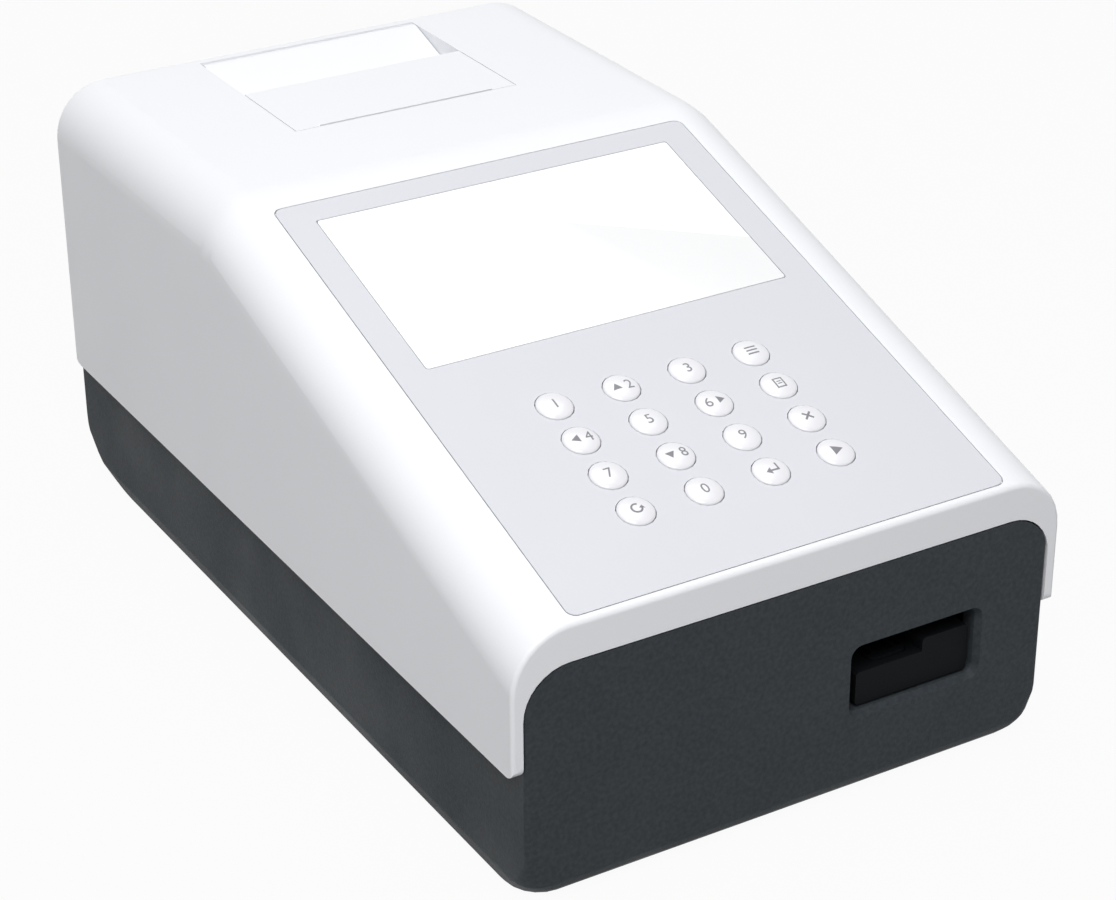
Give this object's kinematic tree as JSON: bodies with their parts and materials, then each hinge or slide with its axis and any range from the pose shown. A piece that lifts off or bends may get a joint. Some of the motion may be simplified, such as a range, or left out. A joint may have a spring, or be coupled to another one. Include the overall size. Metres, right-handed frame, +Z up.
{
  "type": "urine strip analyzer",
  "caption": "Desktop urine strip analyzer: wedge housing, sloped keypad and display, printer door at the back, motor-driven strip tray at the front.",
  "frame": {"origin": "middle of the footprint, on the plane that the feet rest on", "axes": "+X to the user's right, -Y towards the user (the strip opening's side), +Z up"},
  "size_m": [0.172, 0.288, 0.136],
  "materials": {
    "cover": "fine satin, near white",
    "base": "fine texture, charcoal",
    "panel": "smooth film, pale grey",
    "window": "glossy pane over a blank lit display",
    "key": "glossy domes",
    "board": "circuit board",
    "metal": "plain steel",
    "black": "moulded black",
    "tray_white": "moulded white",
    "gear": "natural nylon",
    "rubber": "matt",
    "paper": "thermal paper"
  },
  "bodies": {
    "root": {"top_cover": "cover", "base_tub": "base", "control_panel": "panel", "display_window": "window", "display_module": "metal", "keypad_board": "board", "printer_motor": "metal", "print_head": "metal", "printer_frame": "black", "tray_guide": "black", "tray_motor": "metal", "reader_housing": "black", "reader_lens": "metal", "reader_board": "board", "main_board": "board", "power_inlet": "black", "usb_socket": "metal", "serial_socket": "metal", "switch_frame": "black", "board_screw_1": "metal", "board_screw_2": "metal", "board_screw_3": "metal", "board_screw_4": "metal", "rubber_foot_1": "rubber", "rubber_foot_2": "rubber", "rubber_foot_3": "rubber", "rubber_foot_4": "rubber", "case_screw_1": "metal", "case_screw_2": "metal", "case_screw_3": "metal", "case_screw_4": "metal"},
    "door": {"paper_door": "cover"},
    "roller": {"platen_roller": "rubber", "roller_gear": "gear"},
    "printer_gear": {"printer_pinion": "gear"},
    "roll": {"paper_roll": "paper"},
    "tray": {"tray_carriage": "black", "tray_rack": "gear", "strip_tray": "tray_white", "white_reference": "paper"},
    "pinion": {"tray_pinion": "gear"},
    "rocker": {"power_rocker": "black"},
    "key_1_cap": {"key_1": "key"},
    "key_2_cap": {"key_2": "key"},
    "key_3_cap": {"key_3": "key"},
    "key_menu_cap": {"key_menu": "key"},
    "key_4_cap": {"key_4": "key"},
    "key_5_cap": {"key_5": "key"},
    "key_6_cap": {"key_6": "key"},
    "key_print_cap": {"key_print": "key"},
    "key_7_cap": {"key_7": "key"},
    "key_8_cap": {"key_8": "key"},
    "key_9_cap": {"key_9": "key"},
    "key_cancel_cap": {"key_cancel": "key"},
    "key_clear_cap": {"key_clear": "key"},
    "key_0_cap": {"key_0": "key"},
    "key_enter_cap": {"key_enter": "key"},
    "key_start_cap": {"key_start": "key"}
  },
  "joints": [
    {"name": "tray_slide", "type": "slide", "parent": "root", "child": "tray", "axis": [0, -1, 0], "range_m": [0, 0.09]},
    {"name": "tray_pinion_spin", "type": "hinge", "parent": "root", "child": "pinion", "pos_m": [0.0146, -0.092, 0.0315], "axis": [0, 0, -1], "range_deg": [0, 645.2]},
    {"name": "door_hinge", "type": "hinge", "parent": "root", "child": "door", "pos_m": [0, 0.133, 0.1344], "axis": [-1, 0, 0], "range_deg": [0, 88]},
    {"name": "roller_spin", "type": "hinge", "parent": "door", "child": "roller", "pos_m": [0, 0.0744, 0.1258], "axis": [1, 0, 0], "continuous": true},
    {"name": "printer_gear_spin", "type": "hinge", "parent": "root", "child": "printer_gear", "pos_m": [0.032, 0.07579, 0.1159], "axis": [1, 0, 0], "continuous": true},
    {"name": "roll_spin", "type": "hinge", "parent": "root", "child": "roll", "pos_m": [0, 0.106, 0.0995], "axis": [1, 0, 0], "continuous": true},
    {"name": "rocker_tip", "type": "hinge", "parent": "root", "child": "rocker", "pos_m": [-0.03, 0.1317, 0.0298], "axis": [1, 0, 0], "range_deg": [0, 16]},
    {"name": "key_1_press", "type": "slide", "parent": "root", "child": "key_1_cap", "axis": [0, 0.2924, -0.9563], "range_m": [0, 0.0008], "stiffness_N_per_m": 400},
    {"name": "key_2_press", "type": "slide", "parent": "root", "child": "key_2_cap", "axis": [0, 0.2924, -0.9563], "range_m": [0, 0.0008], "stiffness_N_per_m": 400},
    {"name": "key_3_press", "type": "slide", "parent": "root", "child": "key_3_cap", "axis": [0, 0.2924, -0.9563], "range_m": [0, 0.0008], "stiffness_N_per_m": 400},
    {"name": "key_menu_press", "type": "slide", "parent": "root", "child": "key_menu_cap", "axis": [0, 0.2924, -0.9563], "range_m": [0, 0.0008], "stiffness_N_per_m": 400},
    {"name": "key_4_press", "type": "slide", "parent": "root", "child": "key_4_cap", "axis": [0, 0.2924, -0.9563], "range_m": [0, 0.0008], "stiffness_N_per_m": 400},
    {"name": "key_5_press", "type": "slide", "parent": "root", "child": "key_5_cap", "axis": [0, 0.2924, -0.9563], "range_m": [0, 0.0008], "stiffness_N_per_m": 400},
    {"name": "key_6_press", "type": "slide", "parent": "root", "child": "key_6_cap", "axis": [0, 0.2924, -0.9563], "range_m": [0, 0.0008], "stiffness_N_per_m": 400},
    {"name": "key_print_press", "type": "slide", "parent": "root", "child": "key_print_cap", "axis": [0, 0.2924, -0.9563], "range_m": [0, 0.0008], "stiffness_N_per_m": 400},
    {"name": "key_7_press", "type": "slide", "parent": "root", "child": "key_7_cap", "axis": [0, 0.2924, -0.9563], "range_m": [0, 0.0008], "stiffness_N_per_m": 400},
    {"name": "key_8_press", "type": "slide", "parent": "root", "child": "key_8_cap", "axis": [0, 0.2924, -0.9563], "range_m": [0, 0.0008], "stiffness_N_per_m": 400},
    {"name": "key_9_press", "type": "slide", "parent": "root", "child": "key_9_cap", "axis": [0, 0.2924, -0.9563], "range_m": [0, 0.0008], "stiffness_N_per_m": 400},
    {"name": "key_cancel_press", "type": "slide", "parent": "root", "child": "key_cancel_cap", "axis": [0, 0.2924, -0.9563], "range_m": [0, 0.0008], "stiffness_N_per_m": 400},
    {"name": "key_clear_press", "type": "slide", "parent": "root", "child": "key_clear_cap", "axis": [0, 0.2924, -0.9563], "range_m": [0, 0.0008], "stiffness_N_per_m": 400},
    {"name": "key_0_press", "type": "slide", "parent": "root", "child": "key_0_cap", "axis": [0, 0.2924, -0.9563], "range_m": [0, 0.0008], "stiffness_N_per_m": 400},
    {"name": "key_enter_press", "type": "slide", "parent": "root", "child": "key_enter_cap", "axis": [0, 0.2924, -0.9563], "range_m": [0, 0.0008], "stiffness_N_per_m": 400},
    {"name": "key_start_press", "type": "slide", "parent": "root", "child": "key_start_cap", "axis": [0, 0.2924, -0.9563], "range_m": [0, 0.0008], "stiffness_N_per_m": 400}
  ],
  "couplings": [
    {"joint": "tray_pinion_spin", "follows": "tray_slide", "rad_per_m": 125},
    {"joint": "printer_gear_spin", "follows": "roller_spin", "ratio": -1.5}
  ]
}
